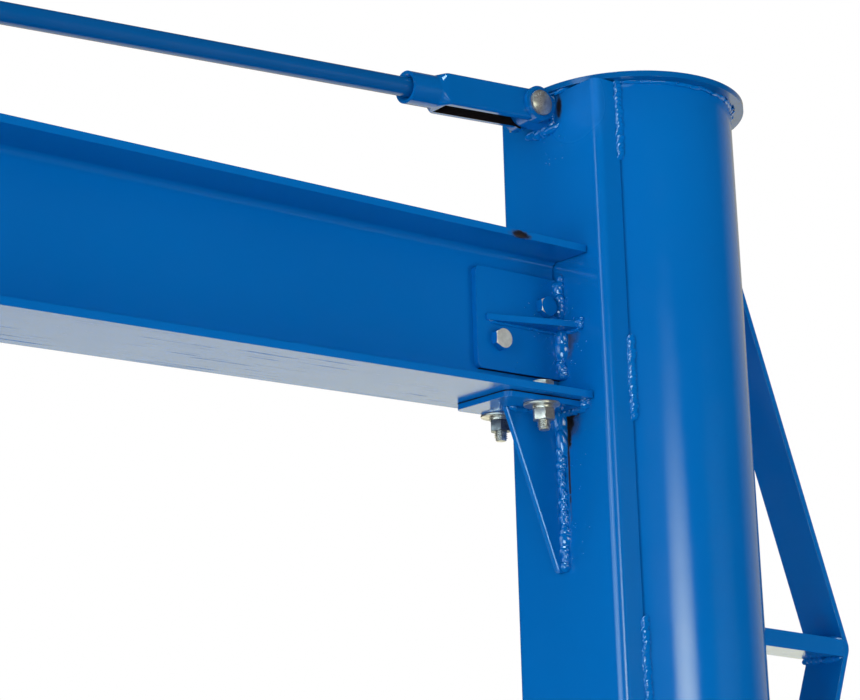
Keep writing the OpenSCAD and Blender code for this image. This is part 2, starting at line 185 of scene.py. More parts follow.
def share_of(tree, place, centre, half):
    """The way from centre to place, each axis as a share of half."""
    away = add_node(tree, "ShaderNodeVectorMath", {0: place}, {"operation": "SUBTRACT"})
    away.inputs[1].default_value = centre
    share = add_node(tree, "ShaderNodeVectorMath", {0: away.outputs[0]}, {"operation": "DIVIDE"})
    share.inputs[1].default_value = half
    return share.outputs[0]

def oval(tree, place, centre, half):
    """0 at the middle of an oval of object space, 1 on its skin and more outside."""
    share = share_of(tree, place, centre, half)
    return add_node(tree, "ShaderNodeVectorMath", {0: share}, {"operation": "LENGTH"}).outputs["Value"]

def inside_box(tree, place, centre, half):
    """1 inside a box of object space, 0 outside."""
    share = share_of(tree, place, centre, half)
    size = add_node(tree, "ShaderNodeVectorMath", {0: share}, {"operation": "ABSOLUTE"}).outputs[0]
    axes = add_node(tree, "ShaderNodeSeparateXYZ", {"Vector": size}).outputs
    widest = calculate(tree, "MAXIMUM", calculate(tree, "MAXIMUM", axes[0], axes[1]), axes[2])
    return calculate(tree, "LESS_THAN", widest, 1.0)

def strongest(tree, mask, other):
    """The larger of two masks, of which the first may not be there yet."""
    return other if mask is None else calculate(tree, "MAXIMUM", mask, other)

# %% [markdown]
# ## Bare steel, painted shade and rolling lines
# Steel that the spray missed is brown at the patch's edge and black in its middle, and noise frays the
# outline. The same brown and black ovals also paint the shade in corners beside welds. The rolling mill
# leaves thin lines along a bar's flat sides, which show as duller threads in the paint.

# %% Bare steel, painted shade and rolling lines
BARE_AND_SHADE_BLACK = (0.006, 0.004, 0.004)
BARE_AND_SHADE_BROWN = (0.040, 0.028, 0.022)

def bare_steel_and_shade(tree, place, colour, ovals):
    """Lays dark ovals over a colour, for bare steel and for painted shade: black in the middle, brown round
    it, frayed at the edge.
    """
    coarse = calculate(tree, "MULTIPLY", noise(tree, place, 150, detail=2), 0.9)
    fine = calculate(tree, "MULTIPLY", noise(tree, place, 900, detail=3, roughness=0.7), 0.5)
    fray = calculate(tree, "ADD", coarse, fine)
    matt = None
    for centre, half, blackness, strength in ovals:
        away = calculate(tree, "ADD", oval(tree, place, centre, half), fray)
        halo = spread(tree, away, 1.05, 2.0, strength, 0.0)
        core = spread(tree, away, 1.4, 1.7, blackness, 0.0)
        colour = mix_colour(tree, core, mix_colour(tree, halo, colour, BARE_AND_SHADE_BROWN), BARE_AND_SHADE_BLACK)
        matt = strongest(tree, matt, halo)
    return colour, matt

def rolling_lines(tree, place, box):
    """A mask of thin lines along X, in patches, on the faces that lie in the box."""
    stretched = object_coords(tree, (7.0, 250.0, 250.0))
    lines = spread(tree, noise(tree, stretched, 1.0, detail=4, roughness=0.7), 0.55, 0.65, 0.0, 1.0)
    patches = spread(tree, noise(tree, place, 7.0, detail=2), 0.42, 0.62, 0.25, 1.0)
    patchy = calculate(tree, "MULTIPLY", lines, patches)
    return calculate(tree, "MULTIPLY", patchy, inside_box(tree, place, *box))

# %% [markdown]
# ## Enamel paint
# Crane enamel is sprayed thick. It is glossy, deep in colour, and its skin is never quite flat: fine
# ripples, called orange peel, break up the reflections. Under it the steel still shows: rolled sections
# have long streaks. Behind weld ends and bolt stacks the blue turns brown and black, partly bare steel that
# the spray gun could not reach and partly painted shade in those corners. Slits and slots are painted black
# as shade, and a shade factor darkens the blue of parts that the lamps light less. One function makes all
# of these, so that each part can have its own share of them.

# %% Paint
BLUE = (0.0, 0.122, 0.415)
DEEP_BLUE = (0.0, 0.112, 0.388)

def paint(name, peel=0.045, peel_size=4.5, gloss=0.14, shade=1.0, soft_edge=0.0, bare=(), shade_boxes=(), dry=(),
          rolled=None):
    """Blue enamel. In millimetres: peel is the ripple's height, peel_size its width and soft_edge the radius
    that the paint gives a sharp edge. gloss is the mean roughness, and shade scales the blue, as painted
    shade below 1 and painted light above it. bare lists the dark ovals of bare steel and painted shade, each
    with its centre, half size, blackness and strength. The boxes after it are painted black as shade in slits
    and slots, and dry lists the ovals where it landed half dry and dull. rolled is for a rolled section: the
    box whose faces show the lines that rolling drew."""
    material, tree, shader = new_material(name)
    place = object_coords(tree)
    tone = noise(tree, place, 3.2, detail=4)
    colour = mix_colour(tree, spread(tree, tone, 0.3, 0.7, 0, 1), tuple(c * shade for c in DEEP_BLUE),
                        tuple(c * shade for c in BLUE))
    rough = spread(tree, noise(tree, place, 38, detail=3), 0.25, 0.75, gloss * 0.8, gloss * 1.3)
    matt = None
    for centre, half in dry:
        matt = strongest(tree, matt, spread(tree, oval(tree, place, centre, half), 0.3, 1.7, 0.6, 0.0))
    if bare:
        colour, patches = bare_steel_and_shade(tree, place, colour, bare)
        matt = strongest(tree, matt, patches)
    # Painted shade: everything inside these boxes is painted black.
    for centre, half in shade_boxes:
        inside = inside_box(tree, place, centre, half)
        colour = mix_colour(tree, inside, colour, BARE_AND_SHADE_BLACK)
        matt = strongest(tree, matt, inside)
    if rolled:
        matt = strongest(tree, matt, rolling_lines(tree, place, rolled))
    if matt is not None:
        rough = calculate(tree, "MAXIMUM", rough, calculate(tree, "MULTIPLY", matt, 0.8))
        tree.links.new(spread(tree, matt, 0.0, 1.0, 0.5, 0.06), shader.inputs["Specular IOR Level"])
    tree.links.new(colour, shader.inputs["Base Color"])
    tree.links.new(rough, shader.inputs["Roughness"])
    skin = None
    if soft_edge:
        skin = add_node(tree, "ShaderNodeBevel", Radius=soft_edge * MM).outputs["Normal"]
    normal = bump(tree, noise(tree, place, 1000 / peel_size, detail=1.5), peel * MM, normal=skin)
    if rolled:
        streaks = noise(tree, object_coords(tree, (5.0, 260.0, 260.0)), 1.0, detail=3, roughness=0.6)
        normal = bump(tree, streaks, 0.12 * MM, 0.5, normal)
    tree.links.new(normal, shader.inputs["Normal"])
    shader.inputs["IOR"].default_value = 1.52
    return material

# %% [markdown]
# ## Painted shade and bare steel
# The corners beside the seat's and the clip's welds and above the tie rod's lug get brown and black ovals,
# partly bare steel that the spray missed and partly painted shade. The slits where a plate lies on another
# and the insides of the clevises are painted black as shade. One bare patch lies on the boom's top flange,
# and a faint brownish haze on the brace. Each list below is measured from the marking lines, so a patch stays
# beside its weld when a piece moves.

# %% Painted shade and bare patches
CLEVIS_SLOT = 114 * MM
HALF_SLOT = 10.3 * MM

def spot(x, y, z, half_x, half_y, half_z, blackness=1.0, strength=0.85):
    """An oval in millimetres, for bare steel, painted shade or dull paint: x out from the channel's face, z
    up from the boom's underside.
    """
    centre = (face_x + x * MM, y * MM, under_z + z * MM)
    return centre, (half_x * MM, half_y * MM, half_z * MM), blackness, strength

def slot_of(clevis_name, pin_name):
    """The box between a clevis's arms, from its pin to the bottom of the slot."""
    lo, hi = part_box(clevis_name)
    pin_lo, pin_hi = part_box(pin_name)
    pin_x = (pin_lo.x + pin_hi.x) / 2
    root = pin_x + (CLEVIS_SLOT if (lo.x + hi.x) / 2 > pin_x else -CLEVIS_SLOT)
    return ((pin_x + root) / 2, 0.0, (lo.z + hi.z) / 2), (abs(root - pin_x) / 2, HALF_SLOT, hi.z - lo.z)

# Painted shade, partly bare steel: dark ovals in the corners beside the seat's, the clip's and the lug's
# welds.
BESIDE_SEAT = [
    spot(0, 23, -21, 5, 9, 11, 0.0, 0.5), spot(0, 20, -9, 5, 15, 5, 1.0, 1.0),
    spot(0, 15.5, -17, 5, 7.5, 12, 1.0, 1.0), spot(0, 14, -30, 5, 4, 14, 1.0, 0.9),
    spot(0, 12.9, -62, 4, 1.7, 44, 0.6, 0.9)]
BESIDE_CLIP = [spot(0, 27, 67, 5, 9, 7, 0.0, 0.4), spot(0, 20, 61, 5, 7, 14, 0.0, 0.75)]
BESIDE_LUG = [spot(0, 20, 308.5, 5, 4, 12, 0.9, 0.9)]
ABOVE_CLIP = [spot(0, 12, 129, 4, 3, 5, 0.3, 0.8)]
CHANNEL_BARE_AND_SHADE = BESIDE_SEAT + BESIDE_CLIP + BESIDE_LUG + ABOVE_CLIP
HALF_DRY = [spot(0, 45, 300, 20, 45, 40)[:2]]
BOOM_BARE = [spot(86.5, 53, 149, 12, 4, 4.2, 0.9, 0.9), spot(88, 53, 145.5, 8, 4, 3.5, 0.1, 0.7)]
# A faint brownish darkening on the brace's inner face, just above the strut.
BRACE_HAZE = [spot(-374, 6, -192, 14, 13, 14, 0.0, 0.22)]
BOOM_SOLE = (((boom_lo.x + boom_hi.x) / 2, 0.0, under_z), (2.0, 0.2, 0.5 * MM))
# Painted shade: black in the slits at the seat's and clip plate's edges and between each clevis's arms.
SEAT_SLIT_SHADE = ((seat_hi.x, 0.0, seat_hi.z - 0.2 * MM), (0.2, 0.2, 0.9 * MM))
CLIP_SLIT_SHADE = (((clip_lo.x + clip_hi.x) / 2, clip_lo.y + 1.6 * MM, clip_lo.z), (0.2, 3.0 * MM, 0.4 * MM))
CLEVIS_SLOT_SHADE = [slot_of("mast_clevis", "mast_pin"), slot_of("boom_clevis", "boom_pin")]
print("bare ovals on the channel:", len(CHANNEL_BARE_AND_SHADE))

# %% The crane's paints
ROLLED = paint("paint_rolled_section", peel=0.04, soft_edge=0.9, bare=BOOM_BARE, rolled=BOOM_SOLE)
PIPE = paint("paint_pipe", peel=0.025, peel_size=7, gloss=0.13)
PLATE = paint("paint_plate", soft_edge=1.0)
SEAT = paint("paint_seat", soft_edge=1.0, shade_boxes=[SEAT_SLIT_SHADE])
CLIP = paint("paint_clip", soft_edge=1.0, shade_boxes=[CLIP_SLIT_SHADE])
# Painted shade: the cap's blue is darkened to 0.72.
CAP = paint("paint_cap", shade=0.72, soft_edge=0.8)
CHANNEL = paint("paint_channel", peel=0.04, gloss=0.13, bare=CHANNEL_BARE_AND_SHADE, dry=HALF_DRY)
BAR = paint("paint_flat_bar", peel=0.15, peel_size=3.2, soft_edge=1.0, bare=BRACE_HAZE)
# Painted shade: the forgings' blue is darkened to 0.85.
FORGED = paint("paint_forging", peel=0.06, peel_size=5, shade=0.85, shade_boxes=CLEVIS_SLOT_SHADE)
# Painted shade: the tie rod's blue is darkened to 0.66.
ROD = paint("paint_tie_rod", peel=0.04, shade=0.66, gloss=0.2)
HARDWARE = paint("paint_bolt_head", peel=0.025, gloss=0.07)
# Painted light: the welds' blue is brightened by 1.04.
WELD = paint("paint_weld", peel=0.0125, peel_size=2.4, gloss=0.055, shade=1.04)
print("paints:", [m.name for m in bpy.data.materials if m.name.startswith("paint")])

# %% [markdown]
# ## Bare metals
# Bolts and pins are zinc plated: pale, a little warm and finely grained. The spindle is turned steel, and
# the bearings are bronze. A metal shows its colour in what it mirrors, so one short function with a light
# and a dark tone makes them all, and no layers are needed. On the pins, a box paints the metal black from
# inside the far arm of the clevis to the tail: painted shade.

# %% Metals
def metal(name, light, dark, roughness, metallic=1.0, shade_box=None):
    """Plated or turned metal. The last argument is a box, centre and half size, where the metal is painted
    black as shade.
    """
    material, tree, shader = new_material(name)
    place = object_coords(tree)
    tone = noise(tree, place, 160, detail=4, roughness=0.65)
    colour = mix_colour(tree, spread(tree, tone, 0.35, 0.65, 0, 1), dark, light)
    if shade_box is not None:
        colour = mix_colour(tree, inside_box(tree, place, *shade_box), colour, BARE_AND_SHADE_BLACK)
    tree.links.new(colour, shader.inputs["Base Color"])
    rough = spread(tree, tone, 0.3, 0.7, roughness * 1.25, roughness * 0.8)
    tree.links.new(rough, shader.inputs["Roughness"])
    grain = noise(tree, place, 900, detail=2)
    tree.links.new(bump(tree, grain, 0.01 * MM, 0.6), shader.inputs["Normal"])
    shader.inputs["Metallic"].default_value = metallic
    return material

# Painted shade: each pin is black from inside the far arm of its clevis to its tail.
PIN_TAIL_SHADE = ((1.0, -0.1135, 3.0), (3.0, 0.1, 3.0))
ZINC = metal("zinc_plate", (0.68, 0.65, 0.62), (0.47, 0.45, 0.43), 0.36, metallic=0.88)
# Painted shade: a dark metal for the far seat nut.
SHADED_FAR_NUT = metal("oiled_nut", (0.17, 0.19, 0.22), (0.07, 0.08, 0.10), 0.3, metallic=0.7)
# Worn zinc, which also serves as a painted highlight on the clip bolts' chamfers.
WORN_ZINC_AND_HIGHLIGHT = metal("zinc_worn", (0.60, 0.61, 0.55), (0.46, 0.46, 0.42), 0.40, metallic=0.35)
GROOVE = metal("thread_groove", (0.05, 0.05, 0.045), (0.02, 0.02, 0.02), 0.6, metallic=0.3)
PIN_ZINC = metal("zinc_pin", (0.47, 0.46, 0.44), (0.20, 0.20, 0.20), 0.30, metallic=0.6,
                 shade_box=PIN_TAIL_SHADE)
TURNED = metal("turned_steel", (0.62, 0.62, 0.62), (0.42, 0.42, 0.44), 0.28)
BRONZE = metal("bearing_bronze", (0.50, 0.30, 0.12), (0.40, 0.235, 0.09), 0.28)
print("metals:", [m.name for m in (ZINC, SHADED_FAR_NUT, WORN_ZINC_AND_HIGHLIGHT, GROOVE, PIN_ZINC, TURNED, BRONZE)])

# %% [markdown]
# ## Who wears what
# A table from a node's name to its finish is easier to read, and to change, than one assignment after
# another. Plain plates, such as lugs, gussets and the base, aren't in it: they get the finish called PLATE.

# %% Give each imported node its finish
FINISH = {
    "boom_beam": ROLLED, "front_channel": CHANNEL, "sleeve_pipe": PIPE, "post_pipe": PIPE, "cap_plate": CAP,
    "seat_plate": SEAT, "clip_plate": CLIP, "brace_bar": BAR, "brace_strut": BAR, "tie_rod": ROD,
    "mast_clevis": FORGED, "boom_clevis": FORGED, "mast_pin": PIN_ZINC, "boom_pin": PIN_ZINC,
    "pivot_spindle": TURNED, "thrust_washer": BRONZE, "pivot_bush": BRONZE, "lower_bush": BRONZE}

for name, node in frame["nodes"].items():
    node.data.materials.clear()
    node.data.materials.append(FINISH.get(name, PLATE))
print("finishes given:", len(FINISH), "named,", len(frame["nodes"]) - len(FINISH), "plain plates")

# %% [markdown]
# ## Modelling helpers
# Small parts are modelled where they are easy to think about, standing on the origin, and then carried to
# their place. Once there, the move is baked into the mesh, so that each object's own origin stays at the
# frame's.

# %% Modelling helpers
def clear_selection():
    if bpy.context.object and bpy.context.object.mode == "EDIT":
        bpy.ops.object.mode_set(mode="OBJECT")
    bpy.ops.object.select_all(action="DESELECT")

def activate(piece):
    clear_selection()
    piece.select_set(True)
    bpy.context.view_layer.objects.active = piece

def select_faces(piece, test):
    """Enters edit mode with only the faces selected whose centre and normal pass the test."""
    activate(piece)
    bpy.ops.object.mode_set(mode="EDIT")
    bpy.ops.mesh.select_mode(type="FACE")
    bpy.ops.mesh.select_all(action="DESELECT")
    bpy.ops.object.mode_set(mode="OBJECT")
    for face in piece.data.polygons:
        face.select = test(face.center, face.normal)
    bpy.ops.object.mode_set(mode="EDIT")

def edit_all(piece):
    """Enters edit mode with every point selected, ready for an operator that acts on points or edges."""
    activate(piece)
    bpy.ops.object.mode_set(mode="EDIT")
    bpy.ops.mesh.select_mode(type="VERT")
    bpy.ops.mesh.select_all(action="SELECT")

def extrude(move):
    bpy.ops.mesh.extrude_region_move(TRANSFORM_OT_translate={"value": move})

def apply_modifier(piece, kind, **settings):
    activate(piece)
    modifier = piece.modifiers.new(kind.title(), kind)
    for key, value in settings.items():
        setattr(modifier, key, value)
    bpy.ops.object.modifier_apply(modifier=modifier.name)

def smooth(piece, degrees=35):
    activate(piece)
    bpy.ops.object.shade_smooth_by_angle(angle=math.radians(degrees))

def bake_place(piece):
    activate(piece)
    bpy.ops.object.transform_apply(location=True, rotation=True, scale=True)

def copy_of(piece, name, place):
    """A copy with its own mesh, carried to its place by a matrix."""
    twin = piece.copy()
    twin.data = piece.data.copy()
    twin.name = name
    bpy.context.scene.collection.objects.link(twin)
    twin.data.transform(place)
    return twin

def hand_over(piece, body, finish=None):
    """Gives a finished piece its paint and the body it rides on."""
    if finish is not None:
        piece.data.materials.clear()
        piece.data.materials.append(finish)
    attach(piece, body)
    return piece

def join(pieces, name):
    activate(pieces[0])
    for piece in pieces[1:]:
        piece.select_set(True)
    bpy.ops.object.join()
    pieces[0].name = name
    return pieces[0]

def standing(x, y, z):
    return Matrix.Translation((x, y, z))

def upside_down(x, y, z):
    return Matrix.Translation((x, y, z)) @ Matrix.Rotation(math.pi, 4, "X")

def toward_plus_y(x, y, z):
    return Matrix.Translation((x, y, z)) @ Matrix.Rotation(-math.pi / 2, 4, "X")

def toward_minus_y(x, y, z):
    return Matrix.Translation((x, y, z)) @ Matrix.Rotation(math.pi / 2, 4, "X")

# %% [markdown]
# ## Hex heads and nuts
# A hex head is turned on a lathe after it is forged, and the 30 degree chamfer cuts each corner in a curve.
# We get the same curves the same way: a six-sided prism, kept only where it lies inside a turned blank.

# %% Hex stock
def turned_blank(radius, height, chamfer_bottom):
    """A round blank whose ends are chamfered at 30 degrees down to 0.86 of its radius."""
    end_radius = radius * 0.86
    depth = (radius - end_radius) * math.tan(math.radians(30))
    clear_selection()
    bpy.ops.mesh.primitive_cylinder_add(vertices=64, radius=radius, depth=height - 2 * depth,
                                        location=(0, 0, height / 2))
    blank = bpy.context.object
    bake_place(blank)
    for side in (1, -1):
        select_faces(blank, lambda centre, normal: normal.z * side > 0.9)
        extrude((0, 0, side * depth))
        if side > 0 or chamfer_bottom:
            share = end_radius / radius
            bpy.ops.transform.resize(value=(share, share, 1), center_override=(0, 0, height / 2))
    bpy.ops.object.mode_set(mode="OBJECT")
    return blank

def hex_stock(name, across_flats, height, chamfer_bottom=False):
    corner = across_flats / math.sqrt(3)
    blank = turned_blank(corner * 1.003, height, chamfer_bottom)
    clear_selection()
    bpy.ops.mesh.primitive_cylinder_add(vertices=6, radius=corner, depth=height, location=(0, 0, height / 2))
    stock = bpy.context.object
    stock.name = name
    bake_place(stock)
    apply_modifier(stock, "BOOLEAN", operation="INTERSECT", object=blank, solver="EXACT")
    apply_modifier(stock, "BEVEL", width=0.25 * MM, segments=2, limit_method="ANGLE",
                   angle_limit=math.radians(25))
    bpy.data.objects.remove(blank)
    smooth(stock)
    return stock

# %% [markdown]
# ## Washers
# A flat washer is a ring with a soft edge. A lock washer is a square wire wound almost once round, and its
# gap and slight twist are what bites.

# %% Washers
def flat_washer(name, outer, inner, thickness):
    clear_selection()
    bpy.ops.mesh.primitive_circle_add(vertices=64, radius=outer)
    washer = bpy.context.object
    washer.name = name
    edit_all(washer)
    bpy.ops.mesh.extrude_region_move()
    bpy.ops.transform.resize(value=(inner / outer,) * 3, center_override=(0, 0, 0))
    bpy.ops.mesh.select_all(action="SELECT")
    extrude((0, 0, thickness))
    bpy.ops.mesh.select_all(action="SELECT")
    bpy.ops.mesh.normals_make_consistent(inside=False)
    bpy.ops.object.mode_set(mode="OBJECT")
    apply_modifier(washer, "BEVEL", width=thickness * 0.22, segments=3, limit_method="ANGLE",
                   angle_limit=math.radians(40))
    smooth(washer)
    return washer

def lock_washer(name, outer, inner, thickness):
    clear_selection()
    bpy.ops.mesh.primitive_plane_add(size=1, rotation=(math.pi / 2, 0, 0),
                                     location=((outer + inner) / 2, 0, thickness / 2))
    washer = bpy.context.object
    washer.name = name
    washer.scale = (outer - inner, thickness, 1)
    bake_place(washer)
    edit_all(washer)
    bpy.ops.mesh.spin(steps=48, angle=math.radians(348), center=(0, 0, 0), axis=(0, 0, 1))
    bpy.ops.mesh.select_all(action="SELECT")
    bpy.ops.mesh.remove_doubles(threshold=1e-7)
    bpy.ops.mesh.normals_make_consistent(inside=False)
    bpy.ops.object.mode_set(mode="OBJECT")
    apply_modifier(washer, "BEVEL", width=0.3 * MM, segments=2, limit_method="ANGLE",
                   angle_limit=math.radians(40))
    smooth(washer)
    return washer

# %% [markdown]
# ## Threads
# A thread is one groove wound round and round. The Screw modifier winds one tooth of the profile about Z
# and lifts it by the pitch on each turn. Grease and dirt sit in the bottom of the groove, and the shade there
# is painted in as well, so those faces get a dark metal of their own. A slim core with a chamfered end
# closes the middle.

# %% Threaded end
def threaded_end(name, radius, pitch, length, steps=28):
    """A stud that stands on the origin, with a true helical thread over its whole length."""
    root = radius - 0.61 * pitch
    turns = round(length / pitch)
    clear_selection()
    bpy.ops.mesh.primitive_plane_add(size=0.001, location=(root, 0, 0))
    thread = bpy.context.object
    bake_place(thread)
    edit_all(thread)
    bpy.ops.mesh.merge(type="CENTER")
    extrude((radius - root, 0, pitch * 0.28))
    extrude((0, 0, pitch * 0.14))
    extrude((root - radius, 0, pitch * 0.28))
    extrude((0, 0, pitch * 0.30))
    bpy.ops.object.mode_set(mode="OBJECT")
    apply_modifier(thread, "SCREW", axis="Z", angle=2 * math.pi, screw_offset=pitch, iterations=turns,
                   steps=steps, render_steps=steps, use_merge_vertices=True, merge_threshold=1e-6)
    edit_all(thread)
    bpy.ops.mesh.remove_doubles(threshold=1e-6)
    bpy.ops.mesh.fill_holes(sides=0)
    bpy.ops.mesh.select_all(action="SELECT")
    bpy.ops.mesh.normals_make_consistent(inside=False)
    bpy.ops.object.mode_set(mode="OBJECT")
    end = (turns + 1) * pitch
    clear_selection()
    bpy.ops.mesh.primitive_cylinder_add(vertices=32, radius=root + 0.1 * MM, depth=end,
                                        location=(0, 0, end / 2))
    core = bpy.context.object
    bake_place(core)
    select_faces(core, lambda centre, normal: normal.z > 0.9)
    extrude((0, 0, pitch * 0.4))
    bpy.ops.transform.resize(value=(0.9, 0.9, 1), center_override=(0, 0, end))
    bpy.ops.object.mode_set(mode="OBJECT")
    thread.data.materials.append(ZINC)
    thread.data.materials.append(GROOVE)
    # Grease, dirt and painted shade: the groove's bottom faces get the dark metal.
    for face in thread.data.polygons:
        face.material_index = int(math.hypot(face.center.x, face.center.y) < root * 1.01)
    core.data.materials.append(ZINC)
    stud = join([thread, core], name)
    smooth(stud, 30)
    return stud

# %% [markdown]
# ## The bolts of seat and clip
# Half-inch hex bolts hold the boom. On the seat they hang head up, with a wide washer, a lock washer and a
# nut below, and the wide washers sit a little off centre, as far as the play in their holes lets them. On
# the web clip the heads face out, and were in place when the crane was sprayed. One chamfer of each, on the
# side that looks along +X, is bare zinc, as worn paint and as a painted highlight, and the paint has been
# wiped off the lower one's face. The far nut on the seat is made dark, as painted shade.

# %% Bolt stock
HALF_INCH = 12.7 * MM
WIDE_THICK = 2.6 * MM
SMALL_THICK = 2.4 * MM
SPRING_THICK = 3.1 * MM
head = hex_stock("bolt_head", across_flats=19.05 * MM, height=8.0 * MM)
nut = hex_stock("bolt_nut", across_flats=19.05 * MM, height=11.0 * MM, chamfer_bottom=True)
wide_washer = flat_washer("wide_washer", outer=17.5 * MM, inner=6.9 * MM, thickness=WIDE_THICK)
small_washer = flat_washer("small_washer", outer=13.0 * MM, inner=6.8 * MM, thickness=SMALL_THICK)
spring = lock_washer("spring_washer", outer=10.8 * MM, inner=6.8 * MM, thickness=SPRING_THICK)
stud = threaded_end("bolt_end", radius=HALF_INCH / 2, pitch=1.95 * MM, length=24 * MM)
STOCK = [head, nut, wide_washer, small_washer, spring, stud]
for piece in STOCK[:-1]:
    piece.data.materials.append(ZINC)
print("bolt stock:", {piece.name: len(piece.data.polygons) for piece in STOCK})

# %% Seat bolts
SEAT_BOLT_X = face_x + 47.2 * MM
SEAT_GAUGE = 63.5 * MM
SPANNER_TURN = {"near": 34, "far": 40}
WASHER_SHIFT = 1.2 * MM
FLANGE_TOP = under_z + 7.1 * MM
plate_under = seat_lo.z

for side, label in SIDES:
    x, y = SEAT_BOLT_X, side * SEAT_GAUGE / 2
    turn = Matrix.Rotation(math.radians(SPANNER_TURN[label]), 4, "Z")
    bolt_nut = copy_of(nut, "seat_nut", upside_down(x, y, plate_under - WIDE_THICK - SPRING_THICK) @ turn)
    # Painted shade: the far nut gets the dark metal.
    if label == "far":
        bolt_nut.data.materials[0] = SHADED_FAR_NUT
    parts = [
        copy_of(head, "seat_head", standing(x, y, FLANGE_TOP) @ turn),
        copy_of(wide_washer, "seat_washer", upside_down(x + WASHER_SHIFT, y - WASHER_SHIFT, plate_under)),
        copy_of(spring, "seat_spring", upside_down(x, y, plate_under - WIDE_THICK)),
        bolt_nut,
        copy_of(stud, "seat_stud", upside_down(x, y, plate_under))]
    hand_over(join(parts, "seat_bolt_" + label), "jib")
print("seat bolts at x", round(SEAT_BOLT_X, 4))

# %% [markdown]
# ## Clip bolts
# The same stock, turned so that its axis lies along Y, makes the web bolts. The painted head is a piece of
# its own. Its bright zinc faces, worn paint and painted highlight, are found by the way they face, so none
# has to be picked by hand, and a second material slot shows the zinc there.

# %% Clip bolts
CLIP_BOLTS = (("upper", 21.0 * MM, 20.4 * MM), ("lower", 80.3 * MM, -20.4 * MM))
clip_mid = (boom_lo.z + boom_hi.z) / 2

for label, out, rise in CLIP_BOLTS:
    x, z = face_x + out, clip_mid + rise
    painted = copy_of(head, "clip_head_" + label, toward_plus_y(x, clip_hi.y, z))
    hand_over(painted, "jib", HARDWARE)
    painted.data.materials.append(WORN_ZINC_AND_HIGHLIGHT)
    for face in painted.data.polygons:
        # The bright zinc chamfer is worn paint and a painted highlight.
        bright_chamfer = face.normal.x > 0.25 and face.normal.z < 0.35 and 0.3 < face.normal.y < 0.97
        face.material_index = int(bright_chamfer or (label == "lower" and face.normal.y > 0.97))
    parts = [
        copy_of(small_washer, "clip_washer", toward_minus_y(x, -web_half, z)),
        copy_of(spring, "clip_spring", toward_minus_y(x, -web_half - SMALL_THICK, z)),
        copy_of(nut, "clip_nut", toward_minus_y(x, -web_half - SMALL_THICK - SPRING_THICK, z)),
        copy_of(stud, "clip_stud", toward_minus_y(x, -web_half, z))]
    hand_over(join(parts, "clip_bolt_" + label), "jib")
print("clip bolts at z", [round(clip_mid + rise, 4) for _, _, rise in CLIP_BOLTS])

# %% [markdown]
# ## Cotter pins
# A cotter keeps each clevis pin in. It is one half-round wire, folded double into an eye, pushed through
# the pin's tail and spread. Here a bevelled curve is bent by its points and then made a mesh.

# %% Cotter pins
COTTER_WIRE = 1.725 * MM
COTTER_LEG = 17 * MM
COTTER_EYE = 4.2 * MM
LEG_APART = 0.85 * MM

def cotter_route():
    """Points (x, z) along the wire: up the straight leg, round the eye, and down the leg that is bent out."""
    leg = COTTER_LEG
    up = [(0.9 * MM, -leg), (LEG_APART, -0.2 * leg), (LEG_APART, 0.5 * leg)]
    turns = [math.radians(angle) for angle in range(30, 331, 30)]
    eye = [(COTTER_EYE * math.sin(a), 0.5 * leg + COTTER_EYE * (1.25 - math.cos(a))) for a in turns]
    down = [(-LEG_APART, 0.5 * leg), (-LEG_APART, -0.55 * leg)]
    bent_out = [(-2.6 * MM, -0.75 * leg), (-6.5 * MM, -0.85 * leg)]
    return up + eye + down + bent_out

def cotter_pin(name, centre):
    """A cotter that drops through a pin's tail, with its eye on top and its two legs spread below."""
    route = cotter_route()
    clear_selection()
    line = bpy.data.curves.new(name, "CURVE")
    line.dimensions = "3D"
    line.bevel_depth = COTTER_WIRE / 2
    line.bevel_resolution = 2
    line.use_fill_caps = True
    spline = line.splines.new("NURBS")
    spline.points.add(len(route) - 1)
    spline.order_u, spline.use_endpoint_u, spline.resolution_u = 3, True, 6
    for point, (x, z) in zip(spline.points, route):
        point.co = (x, 0, z, 1)
    cotter = bpy.data.objects.new(name, line)
    bpy.context.scene.collection.objects.link(cotter)
    activate(cotter)
    bpy.ops.object.convert(target="MESH")
    cotter = bpy.context.object
    cotter.location = centre
    bake_place(cotter)
    smooth(cotter, 50)
    return cotter

FROM_PIN_TAIL = 4.5 * MM
for name in ("mast_pin", "boom_pin"):
    lo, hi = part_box(name)
    middle = ((lo.x + hi.x) / 2, lo.y + FROM_PIN_TAIL, (lo.z + hi.z) / 2)
    hand_over(cotter_pin(name + "_cotter", middle), "jib", ZINC)
    print("cotter through", name, "at", [round(c, 3) for c in middle])

# %% [markdown]
# ## Anchors
# Eight three-quarter-inch studs come up through the base plate, each with a washer and a nut run down on
# it. They stand in a square round the post. One washer, one nut and one stud are modelled, and a loop
# copies them, each nut turned as far as the spanner happened to leave it.

# %% Anchors
ANCHOR_REACH = 330 * MM
ANCHOR_WASHER_THICK = 3.5 * MM
STUD_FOOT = 0.5 * MM
anchor_nut = hex_stock("anchor_nut_stock", across_flats=28.6 * MM, height=16.3 * MM, chamfer_bottom=True)
anchor_washer = flat_washer("anchor_washer_stock", outer=22 * MM, inner=10 * MM,
                            thickness=ANCHOR_WASHER_THICK)
anchor_stud = threaded_end("anchor_stud_stock", radius=9.5 * MM, pitch=2.54 * MM, length=56 * MM)
for piece in (anchor_nut, anchor_washer):
    piece.data.materials.append(ZINC)

def make_anchor(name, x, y, twist):
    turn = Matrix.Rotation(math.radians(twist), 4, "Z")
    parts = [copy_of(anchor_washer, "washer", standing(x, y, base_top)),
             copy_of(anchor_nut, "nut", standing(x, y, base_top + ANCHOR_WASHER_THICK) @ turn),
             copy_of(anchor_stud, "stud", standing(x, y, STUD_FOOT))]
    hand_over(join(parts, name), "post")

